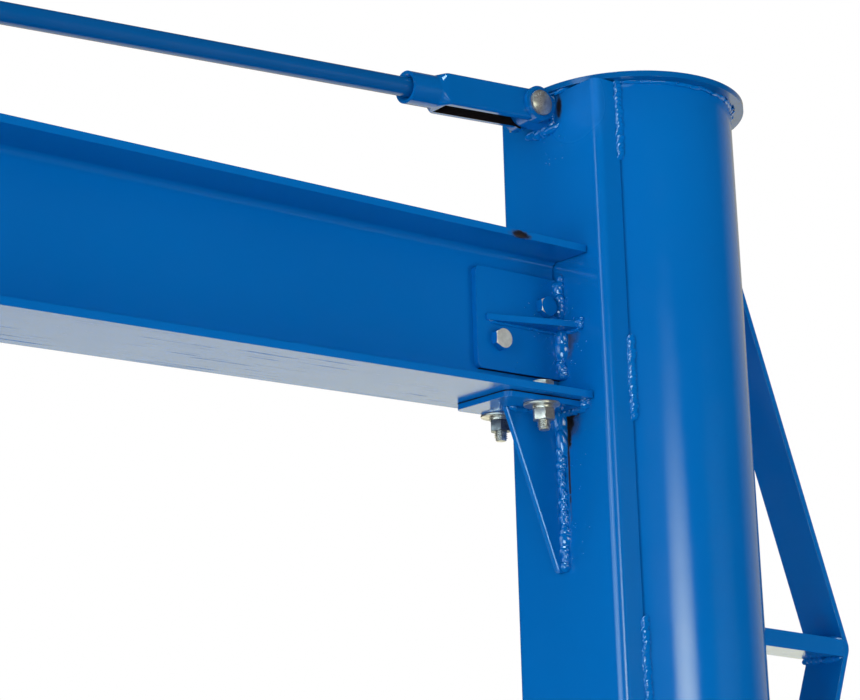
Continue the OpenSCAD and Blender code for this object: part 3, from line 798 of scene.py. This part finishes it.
anchor_places = [(i * ANCHOR_REACH, j * ANCHOR_REACH) for i in (-1, 0, 1) for j in (-1, 0, 1) if i or j]
for number, (x, y) in enumerate(anchor_places, 1):
    make_anchor(f"anchor_{number}", x, y, random.uniform(0, 60))
for stock in STOCK + [anchor_nut, anchor_washer, anchor_stud]:
    bpy.data.objects.remove(stock)
print("anchors:", len(anchor_places))

# %% [markdown]
# ## Weld beads
# A weld is laid as a row of small overlapping puddles, each a little different and each leaning back on the
# one before. We lay flattened lumps along the seam, let a voxel remesh melt them into one skin, and relax
# it. The enamel over the bead then catches the light in small bright points, as it does on the real crane.

# %% Weld helpers
def along(points, step):
    """Evenly spaced places along a line of points, each with its direction."""
    places = []
    carry = 0.0
    for a, b in zip(points, points[1:]):
        length = (b - a).length
        while carry <= length:
            places.append((a.lerp(b, carry / length), (b - a).normalized()))
            carry += step
        carry -= length
    return places

def weld(name, body, points, facing, half, thick, lift, pace=3.4, lumpy=0.12, lean=28, slant=0, voxel=0.55,
         overlap=1.25):
    """A bead along the points. In millimetres: half is half its width, thick its thickness, lift how far its
    middle stands off the seam, pace the step between puddles and voxel the remesh's grain. facing is the way
    its face looks, or a function of the place. lumpy is how unlike the puddles are, lean and slant how far
    they tip back and sideways in degrees, and overlap how far each runs over the next."""
    clear_selection()
    for number, (place, direction) in enumerate(along(points, pace * MM)):
        out = Vector(facing(place) if callable(facing) else facing)
        out = (out - out.dot(direction) * direction).normalized()
        across = out.cross(direction)
        frame_of_puddle = Matrix((direction, across, out)).transposed()
        turn = Matrix.Rotation(math.radians(slant + random.uniform(-9, 9)), 3, "Z")
        tip = Matrix.Rotation(math.radians(lean + random.uniform(-9, 9)), 3, "Y")
        swell = [random.uniform(1 - lumpy, 1 + lumpy) for _ in range(3)]
        shake = across * random.uniform(-1, 1) * half * lumpy * MM
        shake += out * random.uniform(-1, 1) * thick * lumpy * MM
        bpy.ops.mesh.primitive_ico_sphere_add(
            subdivisions=3, radius=1.0, location=place + out * lift * MM + shake,
            rotation=(frame_of_puddle @ turn @ tip).to_euler(),
            scale=(pace * overlap * swell[0] * MM, half * swell[1] * MM, thick * swell[2] * MM))
        if number == 0:
            bead = bpy.context.object
            bpy.ops.object.mode_set(mode="EDIT")
    bpy.ops.object.mode_set(mode="OBJECT")
    bake_place(bead)
    apply_modifier(bead, "REMESH", mode="VOXEL", voxel_size=voxel * MM, use_smooth_shade=True)
    apply_modifier(bead, "SMOOTH", factor=0.5, iterations=3)
    bead.name = name
    return hand_over(bead, body, WELD)

def fillet(name, body, points, facing, leg, **more):
    """A weld in a square corner, with legs of the given length in millimetres."""
    return weld(name, body, points, facing, leg * 0.72, leg * 0.42, leg * 0.45, **more)

def points_of(*rows):
    return [Vector(row) for row in rows]

def upright(x, y, low, high):
    return points_of((x, y, high), (x, y, low))

def ring(radius, z, start, stop, steps):
    """Points round the Z axis, from one angle to another in degrees."""
    turns = [math.radians(start + (stop - start) * i / steps) for i in range(steps + 1)]
    return [Vector((radius * math.cos(a), radius * math.sin(a), z)) for a in turns]

def outward_down(place):
    return Vector((place.x, place.y, 0)).normalized() + Vector((0, 0, -1))

def outward_up(place):
    return Vector((place.x, place.y, 0)).normalized() + Vector((0, 0, 1))

def count_beads(part):
    """Says how many beads a part has, and how many faces they hold."""
    beads = [o for o in bpy.data.objects if o.name.startswith(part)]
    print(part, len(beads), "beads,", sum(len(o.data.polygons) for o in beads), "faces")

# %% [markdown]
# ## Welds of the mast
# The cap is welded to the sleeve's round back and to the channel's face. The channel's legs are only
# stitched to the sleeve, because one long weld would pull the pipe out of straight. The welder weaves
# slowly along each stitch, which we get from puddles that lie slanted.

# %% Welds of the mast
cap_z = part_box("cap_plate")[0].z
leg_x, leg_y = chan_lo.x, chan_hi.y
SEAM_SIDE = math.radians(66)

fillet("weld_cap_to_sleeve", "jib", ring(sleeve_r, cap_z, 45, 315, 140), outward_down, 3.1,
       lumpy=0.12, pace=9, lean=8, voxel=0.6)
fillet("weld_cap_to_channel", "jib", points_of((face_x, -60 * MM, cap_z), (face_x, 34 * MM, cap_z)),
       (1, 0, -1), 3.1, lumpy=0.3, pace=8)

STITCHES = ((242, 322, 1.1), (-21, 58, 1.9), (-292, -212, 1.9), (-560, -480, 1.9), (-696, -616, 1.9))
for side, label in SIDES:
    seam_out = (math.cos(SEAM_SIDE), side * math.sin(SEAM_SIDE), 0)
    for number, (low, high, thick) in enumerate(STITCHES, 1):
        line = upright(leg_x - 1.5 * MM, side * (leg_y - 0.5 * MM), under_z + low * MM, under_z + high * MM)
        weld(f"weld_stitch_{label}_{number}", "jib", line, seam_out, 5.6, thick, 1.5, pace=4.5, lumpy=0.14,
             lean=30, slant=40 * side, overlap=0.9, voxel=0.5 if side > 0 else 0.8)
count_beads("weld_stitch")

# %% [markdown]
# ## Welds of lug, seat and clip
# These welds carry the boom, so they are thick, and they were laid by hand: uneven, with fat puddles where
# the welder paused. Each seam is one line of two points in the corner where two pieces meet, and the leg's
# length sets how fat the bead is. Where the welder stayed longer, a short bead of larger puddles lies over
# the others.

# %% Welds of lug, seat and clip
for side, label in SIDES:
    gusset_y = side * gusset_hi.y
    fillet("weld_lug_" + label, "jib", upright(face_x, side * lug_hi.y, lug_lo.z + 1 * MM, lug_hi.z - 1 * MM),
           (1, side, 0), 5.5, lumpy=0.3, pace=6)
    fillet("weld_gusset_mast_" + label, "jib",
           upright(face_x, gusset_y, gusset_lo.z + 2 * MM, gusset_hi.z - 36 * MM),
           (1, side, 0), 7.4, lumpy=0.28, pace=5.2, lean=20, slant=14)
    fillet("weld_gusset_puddles_" + label, "jib",
           upright(face_x, gusset_y, gusset_hi.z - 40 * MM, gusset_hi.z - 10 * MM),
           (1, side, 0), 10.0, lumpy=0.14, pace=11, lean=10)
    fillet("weld_gusset_seat_" + label, "jib",
           points_of((face_x + 14 * MM, gusset_y, seat_lo.z), (gusset_hi.x - 5 * MM, gusset_y, seat_lo.z)),
           (0, side, -1), 4.5)
    fillet("weld_seat_" + label, "jib",
           points_of((face_x, side * 14 * MM, seat_lo.z), (face_x, side * seat_hi.y, seat_lo.z)),
           (1, 0, -1), 5.0, lumpy=0.2)
    fillet("weld_seat_end_" + label, "jib",
           upright(face_x, side * seat_hi.y, seat_lo.z, seat_hi.z - 1.5 * MM), (1, side, 0), 6.5, lumpy=0.3)
fillet("weld_lug_under", "jib", points_of((face_x, -15 * MM, lug_lo.z), (face_x, 15 * MM, lug_lo.z)),
       (1, 0, -1), 7.5, lumpy=0.34, pace=8.5)

CLIP_BEADS = (
    ("top", clip_hi.z - 1 * MM, rib_hi.z + 12 * MM, 7.5),
    ("thin", rib_hi.z + 14 * MM, rib_hi.z, 3.2),
    ("bottom", rib_lo.z - 5 * MM, clip_lo.z + 1 * MM, 7.5))
for name, high, low, leg in CLIP_BEADS:
    fillet("weld_clip_" + name, "jib", upright(face_x, clip_hi.y, low, high), (1, 1, 0), leg,
           lumpy=0.34, pace=5.5)
fillet("weld_clip_blob", "jib", upright(face_x, clip_hi.y, rib_lo.z - 17 * MM, rib_lo.z - 8 * MM), (1, 1, 0),
       10.5, lumpy=0.15, pace=9, lean=10)
for name, z, down in (("over", rib_hi.z, 1), ("under", rib_lo.z, -1)):
    fillet("weld_rib_" + name, "jib", points_of((face_x, clip_hi.y + 3 * MM, z), (face_x, rib_hi.y, z)),
           (1, 0, down), 3.6)
fillet("weld_rib_tip", "jib", upright(face_x, rib_hi.y, rib_lo.z - 1 * MM, rib_hi.z + 1 * MM), (1, 1, 0), 6.5,
       lumpy=0.4, pace=3)
fillet("weld_rib_to_clip", "jib",
       points_of((face_x + 8 * MM, clip_hi.y, rib_lo.z), (rib_hi.x - 6 * MM, clip_hi.y, rib_lo.z)),
       (0, 1, -1), 2.6)
for part in ("weld_lug", "weld_gusset", "weld_seat", "weld_clip", "weld_rib"):
    count_beads(part)

# %% [markdown]
# ## Welds of the brace
# The bar comes down on the round sleeve at a slant, so its seam climbs as it goes round. That line could be
# snapped to the meshes by hand, but the sleeve's radius and the bar's slope give it in one short formula.

# %% Welds of the brace
bar_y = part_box("brace_bar")[1].y
BAR_THICK = 6.35 * MM
BRACE_REACH = 151 * MM
BEND_OUT = sleeve_r + BRACE_REACH
BEND_Z = under_z - 222.4 * MM
RISE = 437 * MM
FALL = 374 * MM
STRUT_HALF = 9 * MM
STRUT_DROP = 9.5 * MM

def across_bar(x, z, over=0.0):
    """A line across the bar's width, a little shorter or longer than it."""
    return points_of((x, -bar_y - over, z), (x, bar_y + over, z))

def across_sleeve(z, slope):
    """The same on the sleeve's round back, climbing as the bar does."""
    rows = []
    for i in range(-6, 7):
        y = i / 6 * (bar_y - 1 * MM)
        x = math.sqrt(sleeve_r ** 2 - y ** 2)
        rows.append((-x, y, z + (sleeve_r - x) * slope))
    return points_of(*rows)

strut_out = BEND_Z + STRUT_HALF
strut_in = strut_out + STRUT_DROP
fillet("weld_strut_under", "jib", across_bar(-BEND_OUT + 3.6 * MM, BEND_Z - STRUT_HALF, -3 * MM), (1, 0, -1),
       5.5, lumpy=0.2, pace=6)
fillet("weld_strut_over", "jib", across_bar(-BEND_OUT + 3.1 * MM, strut_out, -3 * MM), (1, 0, 1), 4.5,
       lumpy=0.2, pace=6)
fillet("weld_strut_inner_top", "jib", across_sleeve(strut_in, 0), (-1, 0, 1), 5.5, pace=5)
fillet("weld_strut_inner_under", "jib", across_sleeve(strut_in - 2 * STRUT_HALF, 0), (-1, 0, -1), 5.5, pace=5)
bar_back = -math.sqrt(sleeve_r ** 2 - bar_y ** 2)
for name, sign, run in (("upper", 1, RISE), ("lower", -1, FALL)):
    slope = sign * run / BRACE_REACH
    lean = math.atan2(BRACE_REACH, run)
    inner = BEND_Z + sign * run
    outer = inner + sign * BAR_THICK / math.sin(lean)
    weld(f"weld_brace_{name}_outer", "jib", across_sleeve(outer, slope), (-1, 0, sign * 0.2), 5.5, 2.4, 0.6,
         pace=5, lumpy=0.2)
    weld(f"weld_brace_{name}_inner", "jib", across_sleeve(inner - sign * 8 * MM, slope), (-0.3, 0, -sign),
         2.6, 2.4, 0.4, pace=4)
    low, high = sorted((inner + sign * 6 * MM, outer + sign * 4 * MM))
    for side, label in SIDES:
        fillet(f"weld_brace_{name}_{label}", "jib", upright(bar_back, side * bar_y, low, high), (-1, side, 0),
               5.0, pace=4.5)
count_beads("weld_strut")
count_beads("weld_brace")

# %% [markdown]
# ## Welds of the boom's outer end and of the post
# The end plate is welded to both sides of the boom's web, and the outer lug to the top flange. The post has
# one bead all round its foot, and eight gussets. We weld one gusset and copy its beads round the post,
# which is also how a jig in the shop makes eight gussets look the same.

# %% Welds of the boom's outer end
end_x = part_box("boom_end_plate")[0].x
outer_lo, outer_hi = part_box("boom_lug")
for side, label in SIDES:
    fillet("weld_end_web_" + label, "jib",
           upright(end_x, side * web_half, boom_lo.z + 16 * MM, boom_hi.z - 16 * MM), (-1, side, 0), 5.0)
    lug_y = side * outer_hi.y
    fillet("weld_outer_lug_" + label, "jib",
           points_of((outer_lo.x, lug_y, boom_hi.z), (outer_hi.x, lug_y, boom_hi.z)), (0, side, 1), 6.0)
count_beads("weld_end")
count_beads("weld_outer")

# %% Welds of the post
COARSE = 1.6
post_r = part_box("post_pipe")[1].x
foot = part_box("base_gusset_1")[1]
fillet("weld_post_to_base", "post", ring(post_r, base_top, 0, 360, 120), outward_up, 9.0, voxel=COARSE,
       pace=6)
beads = []
for side, label in SIDES:
    y = side * foot.y
    up = upright(post_r, y, base_top + 14 * MM, foot.z - 2 * MM)
    level = points_of((post_r + 14 * MM, y, base_top), (foot.x, y, base_top))
    beads.append(fillet("foot_upright_" + label, "post", up, (1, side, 0), 6.0, voxel=COARSE, pace=4.5))
    beads.append(fillet("foot_level_" + label, "post", level, (0, side, 1), 6.0, voxel=COARSE, pace=4.5))
foot_weld = join(beads, "weld_foot_1")
for number in range(1, 8):
    turn = Matrix.Rotation(math.radians(45 * number), 4, "Z")
    hand_over(copy_of(foot_weld, f"weld_foot_{number + 1}", turn), "post")
count_beads("weld_post")
count_beads("weld_foot")

# %% [markdown]
# ## Spatter
# Welding throws small drops of hot steel that stick to the plates round a bead, and the paint covers them.
# Each is a low round speck, half sunk in the plate. A fixed seed puts them in the same places on every run.

# %% Spatter
def spatter(name, count, origin, along_bead, away_from_it, out):
    """Specks on a flat face, crowded near the bead. origin is a corner of their field, in metres, and the
    next two are its sides, in millimetres. out is the way the face looks."""
    clear_selection()
    for number in range(count):
        size = random.uniform(0.45, 1.1) * MM
        away = random.random() ** 2
        place = Vector(origin) + Vector(along_bead) * MM * random.random() + Vector(away_from_it) * MM * away
        bpy.ops.mesh.primitive_ico_sphere_add(subdivisions=2, radius=1.0, location=place,
                                              scale=[size * (0.55 if abs(c) > 0.5 else 1.0) for c in out])
        if number == 0:
            specks = bpy.context.object
            bpy.ops.object.mode_set(mode="EDIT")
    bpy.ops.object.mode_set(mode="OBJECT")
    bake_place(specks)
    specks.name = name
    smooth(specks, 60)
    return hand_over(specks, "jib", WELD)

SIDEWAYS = (0, 1, 0)
FORWARD = (1, 0, 0)
off_face = face_x + 7 * MM
FIELDS = (
    ("clip", 26, (off_face, clip_hi.y, clip_lo.z + 4 * MM), (0, 0, 45), (55, 0, 0), SIDEWAYS),
    ("clip_top", 16, (off_face, clip_hi.y, rib_hi.z + 4 * MM), (0, 0, 40), (50, 0, 0), SIDEWAYS),
    ("channel", 26, (face_x, clip_hi.y + 10 * MM, clip_lo.z - 6 * MM), (0, 0, 100), (0, 26, 0), FORWARD),
    ("gusset", 22, (face_x, gusset_hi.y + 8 * MM, gusset_lo.z), (0, 0, 140), (0, 30, 0), FORWARD),
    ("lug", 14, (face_x, -10 * MM, lug_lo.z - 12 * MM), (0, 36, 0), (0, 0, -30), FORWARD),
    ("strut", 4, (-BEND_OUT + 3 * MM, bar_y, BEND_Z - 6 * MM), (0, 0, 6), (3, 0, 0), SIDEWAYS))
for name, *field in FIELDS:
    spatter("spatter_" + name, *field)
print("spatter specks:", sum(field[1] for field in FIELDS))

# %% [markdown]
# ## Light
# The steel stands on a white sweep, in front of a dim warm room. Enamel mirrors whatever faces it: a side
# that looks level mirrors the dark room and keeps its full colour, a side that looks down mirrors the white
# floor, and a round one finds the tall lights, which draw the bright lines on the pipe and on the channel's
# bends. The world is told apart by ray, so that the background stays white while the paint sees this
# studio.

# %% World
AMBIENT = 0.28

def make_world():
    world = bpy.data.worlds.new("studio")
    bpy.context.scene.world = world
    world.use_nodes = True
    tree = world.node_tree
    tree.nodes.clear()
    way = add_node(tree, "ShaderNodeTexCoord").outputs["Generated"]
    height = add_node(tree, "ShaderNodeSeparateXYZ", {"Vector": way}).outputs["Z"]

    def toward(azimuth, elevation, start, full):
        """1 towards a direction given in degrees, 0 away from it; start and full are angles off it."""
        turn, rise = math.radians(azimuth), math.radians(elevation)
        dot = add_node(tree, "ShaderNodeVectorMath", {0: way}, {"operation": "DOT_PRODUCT"})
        dot.inputs[1].default_value = (math.cos(rise) * math.cos(turn), math.cos(rise) * math.sin(turn),
                                       math.sin(rise))
        return spread(tree, dot.outputs["Value"], math.cos(math.radians(start)), math.cos(math.radians(full)),
                      0.0, 1.0)

    def band(low, high, to_low, to_high):
        """A mask by height: the sine of the angle above the horizon."""
        return spread(tree, height, low, high, to_low, to_high)

    def glow(colour, amount, *masks):
        """A coloured light of the studio: its brightness times every mask."""
        for mask in masks:
            amount = calculate(tree, "MULTIPLY", amount, mask)
        node = add_node(tree, "ShaderNodeVectorMath", {"Scale": amount}, {"operation": "SCALE"})
        node.inputs[0].default_value = colour
        return node.outputs[0]

    fading_up = calculate(tree, "POWER", band(0.06, 0.27, 1.0, 0.0), 1.5)
    warm_wall = glow((0.56, 0.50, 0.32), 0.9, toward(208, 6, 48, 18), band(-0.02, 0.06, 0.0, 1.0))
    lit_floor = glow((1.0, 1.0, 0.75), 1.3, toward(231, -14, 62, 34), band(-0.04, -0.14, 0.0, 1.0))
    tall_window = glow((0.96, 1.0, 0.74), 8.6, toward(77, 3, 13.5, 0.5), fading_up)
    front_panel = glow((0.80, 1.0, 0.98), 3.5, toward(0, 4, 34, 10), band(0.10, 0.28, 1.0, 0.0))
    panel_top = glow((0.80, 1.0, 0.98), 2.0, toward(2, 17, 11, 7))
    high_lamp = glow((0.66, 0.93, 1.0), 20.0, toward(45, 52, 17, 12))
    low_lamp = glow((0.66, 0.93, 1.0), 12.0, toward(40, -24, 13, 8))
    dim_room = glow((1.0, 1.0, 1.0), 0.008, 1.0)
    lights = (warm_wall, lit_floor, tall_window, front_panel, panel_top, high_lamp, low_lamp, dim_room)
    studio = lights[0]
    for light in lights[1:]:
        both = add_node(tree, "ShaderNodeVectorMath", {0: studio, 1: light}, {"operation": "ADD"})
        studio = both.outputs[0]

    rays = add_node(tree, "ShaderNodeLightPath")
    plain = mix_colour(tree, rays.outputs["Is Camera Ray"], (AMBIENT, AMBIENT, AMBIENT), (1.0, 1.0, 1.0))
    seen = mix_colour(tree, rays.outputs["Is Glossy Ray"], plain, studio)
    background = add_node(tree, "ShaderNodeBackground", {"Color": seen}, Strength=1.0)
    add_node(tree, "ShaderNodeOutputWorld", {"Surface": background.outputs[0]})
    return len(lights)

print("lights in the reflected studio:", make_world())

# %% [markdown]
# ## Lamps
# Light and reflection are set apart here. The lamps light the steel but stay out of its mirror image, which
# comes from the world alone, so either can change without the other. A weak one overhead keeps the tops of
# flanges and plates from going black when the crane is seen from above.

# %% Lamps
def softbox(name, azimuth, distance, height, watts, size=2.4):
    """A square area lamp that looks at the mast's head, placed by azimuth in degrees and metres."""
    lamp = bpy.data.lights.new(name, "AREA")
    lamp.shape, lamp.size, lamp.energy = "SQUARE", size, watts
    box = bpy.data.objects.new(name, lamp)
    bpy.context.scene.collection.objects.link(box)
    turn = math.radians(azimuth)
    box.location = (distance * math.cos(turn), distance * math.sin(turn), under_z + height)
    box.rotation_mode = "QUATERNION"
    box.rotation_quaternion = (Vector((0, 0, under_z)) - box.location).to_track_quat("-Z", "Y")
    box.visible_glossy = False
    return box

softbox("key_front", 14, 5.0, 0.0, 140)
softbox("key_camera", 60, 5.0, -0.3, 60)
softbox("key_side", 125, 5.0, -0.3, 94)
softbox("ceiling", 20, 1.4, 4.6, 70, size=3.0)
softbox("key_far", -65, 5.0, -2.0, 130)
softbox("back_fill", 240, 6.0, 1.4, 120)
print("lamps:", len(bpy.data.lights))

# %% [markdown]
# ## Floor
# A pale floor takes the crane's shadow. Only what lies near the crane needs that shadow, so further out the
# floor is given a glow for the camera, and it ends in the white of the backdrop without an edge.

# %% Floor
def make_floor():
    bpy.ops.object.select_all(action="DESELECT")
    bpy.ops.mesh.primitive_plane_add(size=80, location=(0, 0, -0.5 * MM))
    floor = bpy.context.object
    floor.name = "floor"
    material, tree, shader = new_material("studio_floor")
    shader.inputs["Base Color"].default_value = (0.86, 0.86, 0.86, 1)
    shader.inputs["Roughness"].default_value = 0.9
    shader.inputs["Specular IOR Level"].default_value = 0.0
    place = object_coords(tree)
    far = add_node(tree, "ShaderNodeVectorMath", {0: place}, {"operation": "LENGTH"}).outputs["Value"]
    rays = add_node(tree, "ShaderNodeLightPath")
    glow = calculate(tree, "MULTIPLY", rays.outputs["Is Camera Ray"], spread(tree, far, 1.2, 6.0, 0.12, 0.85))
    tree.links.new(glow, shader.inputs["Emission Strength"])
    shader.inputs["Emission Color"].default_value = (1, 1, 1, 1)
    floor.data.materials.append(material)
    floor.visible_glossy = False

make_floor()

# %% [markdown]
# ## Finish
# The last line sets the view transform to Standard.

# %% Finish
bpy.context.scene.view_settings.view_transform = "Standard"
